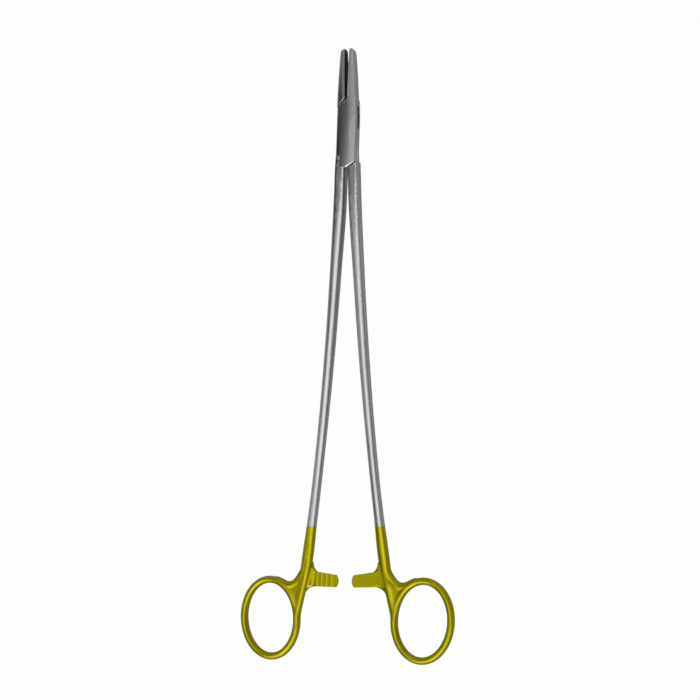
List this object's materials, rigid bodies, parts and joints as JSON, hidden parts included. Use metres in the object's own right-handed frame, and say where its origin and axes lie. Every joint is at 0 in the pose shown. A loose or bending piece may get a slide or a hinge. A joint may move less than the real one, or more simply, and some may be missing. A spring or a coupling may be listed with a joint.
{
  "type": "surgical needle holder",
  "caption": "Long ring-handled needle holder with a box joint, slim serrated jaws, carbide inserts, finger ratchet and gilt rings.",
  "frame": {"origin": "on the pivot axis, in the plane of the flat rear face of the box", "axes": "+Y along the instrument to the jaw tips, +Z out of the front face, +X to the tongue half's finger ring"},
  "size_m": [0.0966, 0.2664, 0.0058],
  "materials": {
    "steel": "satin, the rings and the shank ends polished and gilt",
    "carbide": "dull, cross-hatched on the gripping face"
  },
  "bodies": {
    "box_side": {"box_half": "steel", "pivot_pin": "steel", "box_jaw_insert": "carbide"},
    "tongue_side": {"tongue_half": "steel", "tongue_jaw_insert": "carbide"}
  },
  "joints": [
    {"name": "box_joint", "type": "hinge", "parent": "box_side", "child": "tongue_side", "pos_m": [0, 0, 0], "axis": [0, 0, 1], "range_deg": [-3.3, 45]}
  ]
}
